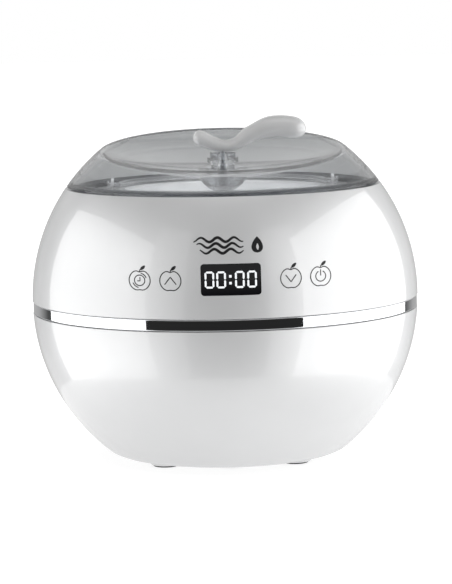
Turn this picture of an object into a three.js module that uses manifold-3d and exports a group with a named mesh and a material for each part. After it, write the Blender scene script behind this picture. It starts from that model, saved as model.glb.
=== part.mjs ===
// Wax warmer pot: a ball-shaped casing in two white shells with a chrome band between them, a heated
// well that holds a lift-out aluminium pot with a wire bail, and a clear dished lid with a leaf handle.
// Millimetres, +Z up, front towards -Y, origin on the ball's upright axis at the bottom of the feet.

import * as THREE from 'three';
import { mergeVertices } from 'three/addons/utils/BufferGeometryUtils.js';
import Module from 'manifold-3d';

const wasm = await Module();
wasm.setup();

// ---------------------------------------------------------------- driving dimensions

// the ball that both casings and the lid follow
const BALL_RADIUS = 108;
const BALL_CENTRE_Z = 88.4;
const WALL = 2.7;
const GAP = 0.3;

// heights where the shells part
const BASE_Z = 2;
const FLOOR_THICKNESS = 3;
const BAND_BOTTOM_Z = 82.2;
const BAND_TOP_Z = 88.4;
const CASING_RIM_Z = 151.0;
const LID_RIM_Z = 151.9;

// the collar that the lid stands on
const DECK_TOP_Z = 148.2;
const DECK_OUTER_RADIUS = 85.4;
const DECK_INNER_RADIUS = 61.6;
const LEDGE_Z = 145.6;

// the heated well and the lift-out pot
const WELL_RADIUS = 60;
const WELL_WALL = 1.6;
const WELL_BOTTOM_Z = 88;
const WELL_FLANGE_Z = 146.7;
const WELL_FLANGE_RADIUS = 67.2;
const POT_RADIUS = 57.6;
const POT_WALL = 1.2;
const POT_BOTTOM_Z = 90.4;
const POT_FLANGE_Z = 148.2;
const POT_FLANGE_RADIUS = 66.4;
const POT_RIM_Z = 149.6;

// the wire bail, folded back on the pot's rim
const BAIL_RADIUS = 58;
const BAIL_WIRE = 1.4;
const BAIL_AXIS_Z = 152.2;
const EAR_X = 61.5;
const EAR_THICKNESS = 1.6;

// the lid: its dish is tilted towards the front, and its lip is rounded
const LID_WALL = 2.8;
const LID_TILT = THREE.MathUtils.degToRad(6.9);
const LIP_HEIGHT = 84.6;
const LIP_ROUNDING = 4;
const DISH_DEPTH = 11;
const SKIRT_OUTER_RADIUS = 84.9;
const SKIRT_INNER_RADIUS = 82.9;
const LID_HOLE_RADIUS = 6.1;

// the display and the touch keys on the front
const PANEL_Z = 109.2;
const WINDOW_WIDTH = 31.3;
const WINDOW_HEIGHT = 16.1;
const WINDOW_CORNER = 1.6;
const KEY_X = { timer: -47.5, up: -31.5, down: 31.5, power: 47.5 };
const CONTROL_BOARD_Y = -86;
const BOARD_THICKNESS = 1.6;
const CONTROL_BOSS = { x: 40, z: 102.8 };

// what stands on the casing's floor
const PILLAR_CIRCLE = 52;
const PILLAR_TOP_Z = 77.6;
const SCREW_SEAT_Z = 66.2;
const FOOT_PLACE = { x: 35.5, y: 40.5 };
const FOOT_RADIUS = 7.2;
const FOOT_BOSS_RADIUS = 8.7;
const FOOT_BOSS_Z = 0.9;
const POWER_BOARD = { x: 38, y: 28, z: 14 };
const BOARD_HOLE = { x: 34, y: 24 };
const INLET_Z = 45;
const INLET_FACE_Y = 93.6;
const INLET_BACK_Y = 76;
const INLET_FLOOR_Y = 81;
const INLET_HALF_WIDTH = 13.7;
const INLET_HALF_HEIGHT = 6.7;
const SOCKET_RADIUS = 4.3;
const PIN_SPACING = 8.6;

// facets round the large and the small turned pieces
const ROUND = 40;
const MEDIUM = 36;
const SMALL = 16;

// ---------------------------------------------------------------- materials

const finishes = {
  white_gloss: { color: 0xf4f4f5, roughness: 0.16, metalness: 0 },
  clear: { color: 0xd8dbdd, roughness: 0.05, metalness: 0, transparent: true, opacity: 0.4 },
  handle_white: { color: 0xe9eaea, roughness: 0.22, metalness: 0 },
  chrome: { color: 0xd6d8da, roughness: 0.05, metalness: 1 },
  aluminium: { color: 0xc9cbcd, roughness: 0.24, metalness: 1 },
  steel: { color: 0xa9acb0, roughness: 0.35, metalness: 1 },
  brass: { color: 0xc8a55a, roughness: 0.3, metalness: 1 },
  black_gloss: { color: 0x08080a, roughness: 0.08, metalness: 0 },
  black_plastic: { color: 0x1c1c1e, roughness: 0.55, metalness: 0 },
  rubber: { color: 0x232325, roughness: 0.85, metalness: 0 },
  board: { color: 0x1f6b3a, roughness: 0.5, metalness: 0 },
  felt: { color: 0xd9d3c4, roughness: 0.95, metalness: 0 },
  mica: { color: 0xb9a37c, roughness: 0.6, metalness: 0 },
  component: { color: 0x2a4f9a, roughness: 0.5, metalness: 0 },
  wire: { color: 0xf2f2ee, roughness: 0.6, metalness: 0 },
};
const materials = {};
for (const [name, settings] of Object.entries(finishes)) {
  materials[name] = new THREE.MeshStandardMaterial(settings);
}

// ---------------------------------------------------------------- solids

// A closed manifold from a three.js geometry whose faces meet at shared corners
function solidOf(geometry) {
  const bare = geometry.clone();
  bare.deleteAttribute('normal');
  bare.deleteAttribute('uv');
  const merged = mergeVertices(bare, 1e-4);
  const index = merged.index.array;
  const triangles = [];
  for (let i = 0; i < index.length; i += 3) {
    const [a, b, c] = [index[i], index[i + 1], index[i + 2]];
    if (a !== b && b !== c && c !== a) {
      triangles.push(a, b, c);
    }
  }
  return new wasm.Manifold(new wasm.Mesh({
    numProp: 3,
    vertProperties: new Float32Array(merged.attributes.position.array),
    triVerts: new Uint32Array(triangles),
  }));
}

function geometryOf(solid) {
  const mesh = solid.getMesh();
  const geometry = new THREE.BufferGeometry();
  geometry.setAttribute('position', new THREE.BufferAttribute(new Float32Array(mesh.vertProperties), 3));
  geometry.setIndex(new THREE.BufferAttribute(new Uint32Array(mesh.triVerts), 1));
  geometry.computeVertexNormals();
  return geometry;
}

function joined(solid, ...others) {
  return others.reduce((whole, other) => whole.add(other), solid);
}

function cut(solid, ...tools) {
  return tools.reduce((whole, tool) => whole.subtract(tool), solid);
}

// Turns a closed outline of [radius, z] points about the upright axis
function turned(outline, segments = ROUND) {
  let area = 0;
  outline.forEach(([r, z], i) => {
    const [nextR, nextZ] = outline[(i + 1) % outline.length];
    area += r * nextZ - nextR * z;
  });
  const ordered = area > 0 ? outline : [...outline].reverse();
  const points = [...ordered, ordered[0]].map(([r, z]) => new THREE.Vector2(r, z));
  return solidOf(new THREE.LatheGeometry(points, segments).rotateX(Math.PI / 2));
}

function upright(radius, zLow, zHigh, [x, y] = [0, 0], segments = SMALL) {
  const geometry = new THREE.CylinderGeometry(radius, radius, zHigh - zLow, segments);
  geometry.rotateX(Math.PI / 2);
  return solidOf(geometry.translate(x, y, (zLow + zHigh) / 2));
}

function alongY(radius, yLow, yHigh, [x, z], segments = SMALL) {
  const geometry = new THREE.CylinderGeometry(radius, radius, yHigh - yLow, segments);
  return solidOf(geometry.translate(x, (yLow + yHigh) / 2, z));
}

function alongX(radius, xLow, xHigh, [y, z], segments = SMALL) {
  const geometry = new THREE.CylinderGeometry(radius, radius, xHigh - xLow, segments);
  geometry.rotateZ(Math.PI / 2);
  return solidOf(geometry.translate((xLow + xHigh) / 2, y, z));
}

function block([xLow, yLow, zLow], [xHigh, yHigh, zHigh]) {
  const geometry = new THREE.BoxGeometry(xHigh - xLow, yHigh - yLow, zHigh - zLow);
  return solidOf(geometry.translate((xLow + xHigh) / 2, (yLow + yHigh) / 2, (zLow + zHigh) / 2));
}

// A rounded rectangle in the XZ plane, drawn out along Y
function roundedBlock(width, height, corner, yLow, yHigh, z) {
  const halfWidth = width / 2 - corner;
  const halfHeight = height / 2 - corner;
  const shape = new THREE.Shape();
  shape.absarc(halfWidth, halfHeight, corner, 0, Math.PI / 2);
  shape.absarc(-halfWidth, halfHeight, corner, Math.PI / 2, Math.PI);
  shape.absarc(-halfWidth, -halfHeight, corner, Math.PI, Math.PI * 1.5);
  shape.absarc(halfWidth, -halfHeight, corner, Math.PI * 1.5, Math.PI * 2);
  const settings = { depth: yHigh - yLow, bevelEnabled: false, curveSegments: 4 };
  const geometry = new THREE.ExtrudeGeometry(shape, settings);
  geometry.rotateX(Math.PI / 2);
  return solidOf(geometry.translate(0, yHigh, z));
}

// A round wire or lead along a curve
function alongCurve(radius, curve, steps, sides = 8) {
  const section = new THREE.Shape();
  section.absarc(0, 0, radius, 0, Math.PI * 2);
  const settings = { steps, extrudePath: curve, bevelEnabled: false, curveSegments: sides / 2 };
  return solidOf(new THREE.ExtrudeGeometry(section, settings));
}

// A skin over rings of equal point count; open ends are closed by a fan to each ring's own middle
function skinned(rings, closesOnItself) {
  const count = rings[0].length;
  const positions = rings.flat().flatMap((point) => [point.x, point.y, point.z]);
  const index = [];
  const spans = closesOnItself ? rings.length : rings.length - 1;
  for (let j = 0; j < spans; j += 1) {
    const next = (j + 1) % rings.length;
    for (let i = 0; i < count; i += 1) {
      const a = j * count + i;
      const b = j * count + (i + 1) % count;
      const c = next * count + (i + 1) % count;
      const d = next * count + i;
      index.push(a, b, d, b, c, d);
    }
  }
  if (!closesOnItself) {
    const last = rings.length - 1;
    for (let i = 1; i < count - 1; i += 1) {
      index.push(0, i + 1, i);
      index.push(last * count, last * count + i, last * count + i + 1);
    }
  }
  const geometry = new THREE.BufferGeometry();
  geometry.setAttribute('position', new THREE.Float32BufferAttribute(positions, 3));
  geometry.setIndex(index);
  return solidOf(geometry);
}

// ---------------------------------------------------------------- the ball's outline

function ballRadiusAt(z, inset = 0) {
  return Math.sqrt((BALL_RADIUS - inset) ** 2 - (z - BALL_CENTRE_Z) ** 2);
}

// [radius, z] points along the ball, inset from its surface, between two heights
function ballArc(zFrom, zTo, inset, steps) {
  const radius = BALL_RADIUS - inset;
  const from = Math.asin((zFrom - BALL_CENTRE_Z) / radius);
  const to = Math.asin((zTo - BALL_CENTRE_Z) / radius);
  const points = [];
  for (let i = 0; i <= steps; i += 1) {
    const angle = from + (to - from) * i / steps;
    points.push([radius * Math.cos(angle), BALL_CENTRE_Z + radius * Math.sin(angle)]);
  }
  return points;
}

const quarterTurns = [0, 1, 2, 3].map((turn) => turn * Math.PI / 2);

// the power board's four holes, each over a post of the lower casing
const boardHoles = [-1, 1].flatMap((across) => (
  [-1, 1].map((along) => [across * BOARD_HOLE.x, along * BOARD_HOLE.y])
));

const footPlaces = {};
for (const [end, y] of [['back', FOOT_PLACE.y], ['front', -FOOT_PLACE.y]]) {
  footPlaces[`${end}_right`] = [FOOT_PLACE.x, y];
  footPlaces[`${end}_left`] = [-FOOT_PLACE.x, y];
}

function onCircle(radius, angle) {
  return [radius * Math.cos(angle), radius * Math.sin(angle)];
}

// ---------------------------------------------------------------- the casing

function lowerCasing() {
  const top = BAND_BOTTOM_Z - GAP;
  const floorTop = BASE_Z + FLOOR_THICKNESS;
  let casing = turned([
    [0, BASE_Z],
    ...ballArc(BASE_Z, top, 0, 6),
    ...ballArc(top, floorTop, WALL, 6),
    [0, floorTop],
  ]);
  for (const angle of quarterTurns) {
    const at = onCircle(PILLAR_CIRCLE, angle);
    casing = joined(casing, upright(6.4, floorTop - 1, PILLAR_TOP_Z, at, 12));
    casing = cut(casing, upright(4.5, 0, SCREW_SEAT_Z, at, 12), upright(2.4, 0, 80, at, 8));
  }
  for (const at of boardHoles) {
    casing = joined(casing, upright(3, floorTop - 1, POWER_BOARD.z - GAP, at, 12));
    casing = cut(casing, upright(1.6, 6.5, POWER_BOARD.z, at, 8));
  }
  for (const at of Object.values(footPlaces)) {
    casing = joined(casing, upright(FOOT_BOSS_RADIUS, FOOT_BOSS_Z, 3.6, at));
    casing = cut(casing, upright(FOOT_RADIUS + 0.4, 0, 3.1, at));
  }
  for (let i = 0; i < 8; i += 1) {
    const slot = new THREE.BoxGeometry(15, 3, 8).translate(26, 0, 4);
    casing = cut(casing, solidOf(slot.rotateZ((i + 0.5) * Math.PI / 4)));
  }
  const [halfWidth, halfHeight] = [INLET_HALF_WIDTH + GAP, INLET_HALF_HEIGHT + GAP];
  return cut(casing, block([-halfWidth, 80, INLET_Z - halfHeight], [halfWidth, 112, INLET_Z + halfHeight]));
}

function upperCasing() {
  const bottom = BAND_TOP_Z + GAP;
  const wallTop = LEDGE_Z - 1.6;
  let casing = turned([
    ...ballArc(bottom, CASING_RIM_Z - 0.5, 0, 5),
    [ballRadiusAt(CASING_RIM_Z) - 0.6, CASING_RIM_Z],
    [DECK_OUTER_RADIUS + GAP, CASING_RIM_Z],
    [DECK_OUTER_RADIUS + GAP, LEDGE_Z],
    [81, LEDGE_Z],
    [81, wallTop],
    ...ballArc(wallTop, bottom, WALL, 5),
  ]);
  for (const x of [-CONTROL_BOSS.x, CONTROL_BOSS.x]) {
    const at = [x, CONTROL_BOSS.z];
    casing = joined(casing, alongY(3.2, -97.6, CONTROL_BOARD_Y - GAP, at, 12));
    casing = cut(casing, alongY(1.6, -93, CONTROL_BOARD_Y, at, 8));
  }
  const clearance = 2 * GAP;
  return cut(casing, roundedBlock(
    WINDOW_WIDTH + clearance, WINDOW_HEIGHT + clearance, WINDOW_CORNER + GAP, -115, -98, PANEL_Z,
  ));
}

function chromeBand() {
  const face = BALL_RADIUS - 0.5;
  const web = 104.2;
  const inside = 102.2;
  return turned([
    [inside, BAND_BOTTOM_Z - 3.7],
    [web, BAND_BOTTOM_Z - 3.7],
    [web, BAND_BOTTOM_Z],
    [face - 0.3, BAND_BOTTOM_Z],
    [face, BAND_BOTTOM_Z + 0.5],
    [face, BAND_TOP_Z - 0.5],
    [face - 0.3, BAND_TOP_Z],
    [web, BAND_TOP_Z],
    [web, BAND_TOP_Z + 3.7],
    [inside, BAND_TOP_Z + 3.7],
  ]);
}

function deckRing() {
  const underside = LEDGE_Z + GAP;
  const lipTop = WELL_FLANGE_Z - GAP;
  return turned([
    [DECK_OUTER_RADIUS, underside],
    [DECK_OUTER_RADIUS, DECK_TOP_Z],
    [69.6, DECK_TOP_Z],
    [68.4, lipTop],
    [DECK_INNER_RADIUS, lipTop],
    [DECK_INNER_RADIUS, lipTop - 1.6],
    [70.2, lipTop - 1.6],
    [71.2, underside],
  ]);
}

function foot() {
  return turned([[0, 0], [FOOT_RADIUS - 0.8, 0], [FOOT_RADIUS, 0.8], [FOOT_RADIUS, 2.8], [0, 2.8]], 20);
}

function casingScrew() {
  const seat = SCREW_SEAT_Z - GAP;
  return turned([[0, seat - 3], [3.8, seat - 3], [3.8, seat], [1.9, seat], [1.9, 86.6], [0, 86.6]], 12);
}

// ---------------------------------------------------------------- the heated well

function heatingWell() {
  const inside = WELL_RADIUS - WELL_WALL;
  const flangeTop = WELL_FLANGE_Z + 1.2;
  const bottomTop = WELL_BOTTOM_Z + 1.8;
  let well = turned([
    [0, WELL_BOTTOM_Z],
    [WELL_RADIUS - 2.4, WELL_BOTTOM_Z],
    [WELL_RADIUS, WELL_BOTTOM_Z + 2.4],
    [WELL_RADIUS, WELL_FLANGE_Z],
    [WELL_FLANGE_RADIUS, WELL_FLANGE_Z],
    [WELL_FLANGE_RADIUS, flangeTop],
    [inside, flangeTop],
    [inside, bottomTop + 1.6],
    [inside - 1.6, bottomTop],
    [0, bottomTop],
  ], MEDIUM);
  for (const angle of quarterTurns) {
    const at = onCircle(PILLAR_CIRCLE, angle);
    well = joined(well, upright(4, 79.8, WELL_BOTTOM_Z + 0.5, at, 12));
    well = cut(well, upright(2.5, 79, 87, at, 8));
  }
  return well;
}

function insulationSleeve() {
  return turned([[60.6, 92], [65.4, 92], [65.4, 138], [60.6, 138]], MEDIUM);
}

function heatingElement() {
  return turned([[18, 84.6], [45, 84.6], [46, 85.6], [46, 87.7], [18, 87.7]], MEDIUM);
}

function micaPad() {
  return turned([[16, 79.9], [47, 79.9], [47, 84.3], [16, 84.3]], 24);
}

function clampPlate() {
  const low = PILLAR_TOP_Z + GAP;
  let plate = turned([[8, low], [57.5, low], [57.5, 79.5], [8, 79.5]], MEDIUM);
  for (const angle of quarterTurns) {
    plate = cut(plate, upright(2.3, 70, 85, onCircle(PILLAR_CIRCLE, angle), 12));
  }
  return plate;
}

function temperatureSensor() {
  return joined(upright(4.5, 84.8, 87.7, [-8, 0]), upright(1.6, 81, 85, [-8, 0], 8));
}

function thermalFuse() {
  return joined(alongY(2, -5, 5, [8, 85.5], 12), alongY(0.6, -9, 9, [8, 85.5], 6));
}

// ---------------------------------------------------------------- the wax pot and its bail

function waxPot() {
  const inside = POT_RADIUS - POT_WALL;
  const floorTop = POT_BOTTOM_Z + POT_WALL;
  let pot = turned([
    [0, POT_BOTTOM_Z],
    [POT_RADIUS - 2.2, POT_BOTTOM_Z],
    [POT_RADIUS, POT_BOTTOM_Z + 2.2],
    [POT_RADIUS, POT_FLANGE_Z],
    [POT_FLANGE_RADIUS - 0.4, POT_FLANGE_Z],
    [POT_FLANGE_RADIUS, POT_FLANGE_Z + 0.5],
    [POT_FLANGE_RADIUS, POT_RIM_Z - 0.5],
    [POT_FLANGE_RADIUS - 0.4, POT_RIM_Z],
    [inside + 0.8, POT_RIM_Z],
    [inside, POT_RIM_Z - 0.8],
    [inside, floorTop + 1.6],
    [inside - 1.6, floorTop],
    [0, floorTop],
  ], MEDIUM);
  for (const side of [-1, 1]) {
    const low = side * EAR_X - EAR_THICKNESS / 2;
    const high = side * EAR_X + EAR_THICKNESS / 2;
    const ear = joined(
      block([low, -4, POT_RIM_Z - 0.5], [high, 4, BAIL_AXIS_Z]),
      alongX(4, low, high, [0, BAIL_AXIS_Z]),
    );
    pot = cut(joined(pot, ear), alongX(1.9, low - 1, high + 1, [0, BAIL_AXIS_Z], 12));
  }
  return pot;
}

class HalfCircle extends THREE.Curve {
  getPoint(t, target = new THREE.Vector3()) {
    const angle = Math.PI * t;
    return target.set(BAIL_RADIUS * Math.cos(angle), BAIL_RADIUS * Math.sin(angle), BAIL_AXIS_Z);
  }
}

function potBail() {
  let bail = alongCurve(BAIL_WIRE, new HalfCircle(), 20);
  for (const side of [-1, 1]) {
    const [low, high] = side > 0 ? [57.2, 64.8] : [-64.8, -57.2];
    const [headLow, headHigh] = side > 0 ? [63.2, 64.8] : [-64.8, -63.2];
    bail = joined(
      bail,
      alongX(BAIL_WIRE, low, high, [0, BAIL_AXIS_Z], 8),
      alongX(2.3, headLow, headHigh, [0, BAIL_AXIS_Z], 8),
    );
  }
  return bail;
}

// ---------------------------------------------------------------- controls

function displayWindow() {
  const face = turned([[0, 80], ...ballArc(80, 140, GAP, 9), [0, 140]]);
  const outline = roundedBlock(WINDOW_WIDTH, WINDOW_HEIGHT, WINDOW_CORNER, -115, -100.8, PANEL_Z);
  return outline.intersect(face);
}

function displayModule() {
  return joined(
    block([-14.6, -100.4, PANEL_Z - 6.5], [14.6, -92.4, PANEL_Z + 6.5]),
    block([-12, -93, PANEL_Z - 5], [12, CONTROL_BOARD_Y - GAP, PANEL_Z + 5]),
  );
}

function controlBoard() {
  let board = block([-51, CONTROL_BOARD_Y, 99.6], [51, CONTROL_BOARD_Y + BOARD_THICKNESS, 118.6]);
  for (const x of [-CONTROL_BOSS.x, CONTROL_BOSS.x]) {
    board = cut(board, alongY(1.6, -88, -82, [x, CONTROL_BOSS.z], 8));
  }
  return board;
}

function controlBoardScrew(x) {
  const at = [x, CONTROL_BOSS.z];
  const headLow = CONTROL_BOARD_Y + BOARD_THICKNESS + GAP;
  return joined(
    alongY(2.6, headLow, headLow + 1.8, at, 12),
    alongY(1.2, -92.4, headLow + 0.5, at, 8),
  );
}

// A sprung contact between the control board and the inside of the casing's wall
function touchContact(x) {
  const wallRadius = ballRadiusAt(PANEL_Z, WALL) - 0.8;
  const reach = -Math.sqrt(wallRadius ** 2 - (Math.abs(x) + 4) ** 2);
  const back = CONTROL_BOARD_Y - GAP;
  return joined(
    alongY(4, reach, reach + 1.2, [x, PANEL_Z]),
    alongY(2.6, reach + 1, back - 0.8, [x, PANEL_Z], 12),
    alongY(3.4, back - 1, back, [x, PANEL_Z]),
  );
}

// ---------------------------------------------------------------- power supply

function powerBoard() {
  const { x: halfX, y: halfY, z } = POWER_BOARD;
  let board = block([-halfX, -halfY, z], [halfX, halfY, z + BOARD_THICKNESS]);
  for (const at of boardHoles) {
    board = cut(board, upright(1.6, z - 2, z + 4, at, 8));
  }
  return board;
}

function powerBoardScrew() {
  const seat = POWER_BOARD.z + BOARD_THICKNESS + GAP;
  return turned([[0, 7], [1.2, 7], [1.2, seat], [2.6, seat], [2.6, seat + 1.8], [0, seat + 1.8]], 8);
}

const PARTS_Z = POWER_BOARD.z + BOARD_THICKNESS + GAP;
const pinPlaces = [-PIN_SPACING / 2, PIN_SPACING / 2];

function transformer() {
  return joined(
    block([-30, -9, PARTS_Z], [-12, 9, PARTS_Z + 22]),
    block([-34, -12, PARTS_Z + 5], [-8, 12, PARTS_Z + 17]),
  );
}

function relay() {
  return block([0, -24, PARTS_Z], [19, -9, PARTS_Z + 15.6]);
}

function filterCapacitor() {
  return turned([[0, 0], [5.6, 0], [6, 0.8], [6, 19], [5, 20], [0, 20]], SMALL).translate([6, 10, PARTS_Z]);
}

function terminalBlock() {
  return joined(
    block([16, 13, PARTS_Z], [36, 20, PARTS_Z + 10]),
    block([16, 10, PARTS_Z], [36, 13.5, PARTS_Z + 5]),
  );
}

// A block of the inlet's width and height between two depths
function inletBlock(yLow, yHigh) {
  return block(
    [-INLET_HALF_WIDTH, yLow, INLET_Z - INLET_HALF_HEIGHT],
    [INLET_HALF_WIDTH, yHigh, INLET_Z + INLET_HALF_HEIGHT],
  );
}

// The inlet's back holds the pins and rests its flange behind the casing's wall
function mainsInlet() {
  const flange = block([-17, INLET_FLOOR_Y - 3, INLET_Z - 9.5], [17, INLET_FLOOR_Y, INLET_Z + 9.5]);
  const body = joined(inletBlock(INLET_BACK_Y, INLET_FLOOR_Y), flange);
  return cut(body, ...pinPlaces.map((x) => alongY(1.5, 75, 82, [x, INLET_Z], 12)));
}

// The shroud round the connector's place, a flat-sided tube with a long round hole
function inletShroud() {
  const [low, high] = [INLET_FLOOR_Y - 1, INLET_FACE_Y + 2];
  return cut(
    inletBlock(INLET_FLOOR_Y + GAP, INLET_FACE_Y),
    ...pinPlaces.map((x) => alongY(SOCKET_RADIUS, low, high, [x, INLET_Z], 12)),
    block(
      [-PIN_SPACING / 2, low, INLET_Z - SOCKET_RADIUS],
      [PIN_SPACING / 2, high, INLET_Z + SOCKET_RADIUS],
    ),
  );
}

function inletPin() {
  return joined(alongY(1.2, 72.4, 90.6, [0, INLET_Z], 12), alongY(0.8, 90, 91.6, [0, INLET_Z], 12));
}

function lead(radius, points) {
  const path = new THREE.CatmullRomCurve3(points.map((point) => new THREE.Vector3(...point)));
  return alongCurve(radius, path, 12, 6);
}

// ---------------------------------------------------------------- the lid

// A ring of points about the lid's axis, which leans from upright (0) to the dish's tilt (1)
function lidRing(radius, height, lean) {
  const angle = lean * LID_TILT;
  const points = [];
  for (let i = 0; i < ROUND; i += 1) {
    const turn = 2 * Math.PI * i / ROUND;
    const across = radius * Math.sin(turn);
    points.push(new THREE.Vector3(
      radius * Math.cos(turn),
      across * Math.cos(angle) - height * Math.sin(angle),
      BALL_CENTRE_Z + across * Math.sin(angle) + height * Math.cos(angle),
    ));
  }
  return points;
}

// The ball's surface from one height to another while the rings lean over, first ring upright
function leaningRings(radius, heightFrom, heightTo, steps) {
  const from = Math.acos(heightFrom / radius);
  const to = Math.acos(heightTo / radius);
  const rings = [];
  for (let i = 0; i <= steps; i += 1) {
    const lean = i / steps;
    const angle = from + (to - from) * lean;
    rings.push(lidRing(radius * Math.sin(angle), radius * Math.cos(angle), lean));
  }
  return rings;
}

// The dish is a shallow bowl struck from a centre high above the lid
function dishGeometry() {
  const lipRadius = Math.sqrt(BALL_RADIUS ** 2 - LIP_HEIGHT ** 2);
  const bowlRadius = (lipRadius ** 2 + DISH_DEPTH ** 2) / (2 * DISH_DEPTH);
  const bowlCentre = LIP_HEIGHT - DISH_DEPTH + bowlRadius;
  const inner = BALL_RADIUS - LIP_ROUNDING;
  const outer = bowlRadius + LIP_ROUNDING;
  const lipCentreZ = (bowlCentre ** 2 + inner ** 2 - outer ** 2) / (2 * bowlCentre);
  const lipCentreR = Math.sqrt(inner ** 2 - lipCentreZ ** 2);
  return { bowlRadius, bowlCentre, lipCentreZ, lipCentreR };
}

function lidShell() {
  const { bowlRadius, bowlCentre, lipCentreZ, lipCentreR } = dishGeometry();
  const ballAngle = Math.atan2(lipCentreZ, lipCentreR);
  const bowlAngle = Math.atan2(bowlCentre - lipCentreZ, -lipCentreR);

  const lipRings = (radius, steps) => {
    const rings = [];
    for (let i = 0; i <= steps; i += 1) {
      const angle = ballAngle + (bowlAngle - ballAngle) * i / steps;
      const r = lipCentreR + radius * Math.cos(angle);
      rings.push(lidRing(r, lipCentreZ + radius * Math.sin(angle), 1));
    }
    return rings;
  };
  const bowlRing = (radius, r) => lidRing(r, bowlCentre - Math.sqrt(radius ** 2 - r ** 2), 1);
  const straightRing = (radius, z) => lidRing(radius, z - BALL_CENTRE_Z, 0);

  const innerBall = BALL_RADIUS - LID_WALL;
  const innerStart = Math.sqrt(innerBall ** 2 - SKIRT_INNER_RADIUS ** 2);
  const ballLipHeight = BALL_RADIUS * Math.sin(ballAngle);
  const outside = leaningRings(BALL_RADIUS, LID_RIM_Z - BALL_CENTRE_Z, ballLipHeight, 4).slice(0, -1);
  const inside = leaningRings(innerBall, innerStart, innerBall * Math.sin(ballAngle), 3).slice(0, -1);
  return skinned([
    ...outside,
    ...lipRings(LIP_ROUNDING, 3),
    bowlRing(bowlRadius, 44),
    bowlRing(bowlRadius, 24),
    bowlRing(bowlRadius, LID_HOLE_RADIUS),
    bowlRing(bowlRadius + LID_WALL, LID_HOLE_RADIUS),
    bowlRing(bowlRadius + LID_WALL, 24),
    bowlRing(bowlRadius + LID_WALL, 44),
    ...lipRings(LIP_ROUNDING - LID_WALL, 2).reverse(),
    ...inside.reverse(),
    straightRing(SKIRT_INNER_RADIUS, DECK_TOP_Z + GAP),
    straightRing(SKIRT_OUTER_RADIUS, DECK_TOP_Z + GAP),
    straightRing(SKIRT_OUTER_RADIUS, LID_RIM_Z),
  ], true);
}

// The pieces below are drawn about the dish's own axis, from the middle of its upper face

function handleSocket() {
  return turned([
    [2, -3.1], [5.7, -3.1], [5.7, 0.45], [6.6, 0.45], [6.6, 3],
    [8.7, 3], [8.7, 5.6], [7.1, 5.6], [7.1, 8.2], [2, 8.2],
  ], 24);
}

function retainingClip() {
  let clip = turned([
    [2.2, -3.6], [4.6, -3.6], [4.6, -11], [6, -11], [9.4, -8.4], [11.6, -5.6], [12.6, -3.3],
    [14.2, -3.3], [13.2, -6.3], [10.8, -9.6], [7.2, -12.6], [2.2, -12.6],
  ], 18);
  for (let i = 0; i < 6; i += 1) {
    const window = new THREE.BoxGeometry(8, 6, 4).translate(12, 0, -7);
    clip = cut(clip, solidOf(window.rotateZ((i + 0.5) * Math.PI / 3)));
  }
  return clip;
}

function handleScrew() {
  return turned([[0, -14.8], [3.6, -14.8], [3.6, -12.9], [1.7, -12.9], [1.7, 12.2], [0, 12.2]], 12);
}

// The handle's spine, left to right: [x, z, half thickness, half width]
const HANDLE_SPINE = [
  [-16.4, 17.0, 0, 0],
  [-12.4, 16.5, 4.3, 6.4],
  [-4.6, 13.1, 3.9, 6.2],
  [1.6, 12.0, 3.1, 5.8],
  [7.4, 12.9, 3.5, 6.0],
  [15.6, 18.2, 4.6, 7.0],
  [27.5, 22.1, 6.0, 8.2],
  [38.5, 21.4, 6.2, 8.0],
  [46.2, 18.9, 0, 0],
];

function lidHandle() {
  const spine = new THREE.CatmullRomCurve3(HANDLE_SPINE.map(([x, z]) => new THREE.Vector3(x, 0, z)));
  const spans = HANDLE_SPINE.length - 1;
  const thickness = (t) => {
    const place = Math.min(t * spans, spans - 1e-9);
    const i = Math.floor(place);
    const blend = place - i;
    const first = HANDLE_SPINE[Math.max(i, 1)];
    const second = HANDLE_SPINE[Math.min(i + 1, spans - 1)];
    const half = first[2] + (second[2] - first[2]) * blend;
    const width = first[3] + (second[3] - first[3]) * blend;
    const roundEnd = Math.sqrt(1 - Math.max(0, 1 - place, place - spans + 1) ** 2);
    return [half * roundEnd, width * roundEnd];
  };
  const stations = [0.004, 0.02, 0.06];
  for (let i = 1; i <= 14; i += 1) {
    stations.push(i / 15);
  }
  stations.push(0.98, 0.996);
  const rings = stations.map((t) => {
    const middle = spine.getPoint(t);
    const tangent = spine.getTangent(t);
    const up = new THREE.Vector3(-tangent.z, 0, tangent.x);
    const [half, width] = thickness(t);
    const ring = [];
    for (let i = 0; i < 12; i += 1) {
      const angle = 2 * Math.PI * i / 12;
      const point = middle.clone().addScaledVector(up, half * Math.sin(angle));
      point.y = width * Math.cos(angle);
      ring.push(point);
    }
    return ring;
  });
  return cut(skinned(rings, false), upright(2, 0, 12.6, [0, 0], 12));
}

// ---------------------------------------------------------------- assembly

const warmer = new THREE.Group();

function add(parent, name, material, solid, place = [0, 0, 0]) {
  const mesh = new THREE.Mesh(geometryOf(solid), materials[material]);
  mesh.name = name;
  mesh.position.set(...place);
  parent.add(mesh);
}

add(warmer, 'lower_casing', 'white_gloss', lowerCasing());
add(warmer, 'upper_casing', 'white_gloss', upperCasing());
add(warmer, 'chrome_band', 'chrome', chromeBand());
add(warmer, 'deck_ring', 'white_gloss', deckRing());

for (const [corner, at] of Object.entries(footPlaces)) {
  add(warmer, `foot_${corner}`, 'rubber', foot(), [...at, 0]);
}
const sides = ['right', 'back', 'left', 'front'];
quarterTurns.forEach((angle, i) => {
  add(warmer, `casing_screw_${sides[i]}`, 'steel', casingScrew(), [...onCircle(PILLAR_CIRCLE, angle), 0]);
});

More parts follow.
